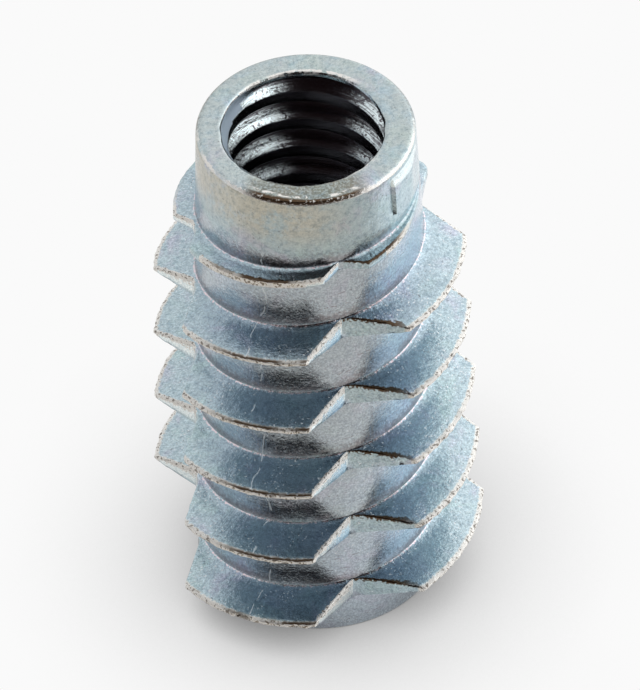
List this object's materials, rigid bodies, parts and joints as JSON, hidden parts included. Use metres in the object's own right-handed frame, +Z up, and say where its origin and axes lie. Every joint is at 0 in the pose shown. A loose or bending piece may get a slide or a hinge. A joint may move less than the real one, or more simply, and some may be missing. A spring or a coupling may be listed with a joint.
{
  "type": "insert nut",
  "caption": "Threaded insert nut for wood: coarse notched outer thread round a tapped bore, plain collar at one end and a hexagon drive socket at the other.",
  "frame": {"origin": "centre of the drive end's face, on which the part stands", "axes": "+Z up along the bore's axis, from the drive end to the plain collar; the picture looks along +Y and down, with +X to its right"},
  "size_m": [0.0114, 0.0115, 0.02],
  "materials": {
    "zinc_casting": "die-cast zinc with a clear blue passivated coat, satin, worn bright on the crests"
  },
  "bodies": {
    "root": {"insert_nut": "zinc_casting"}
  },
  "joints": []
}
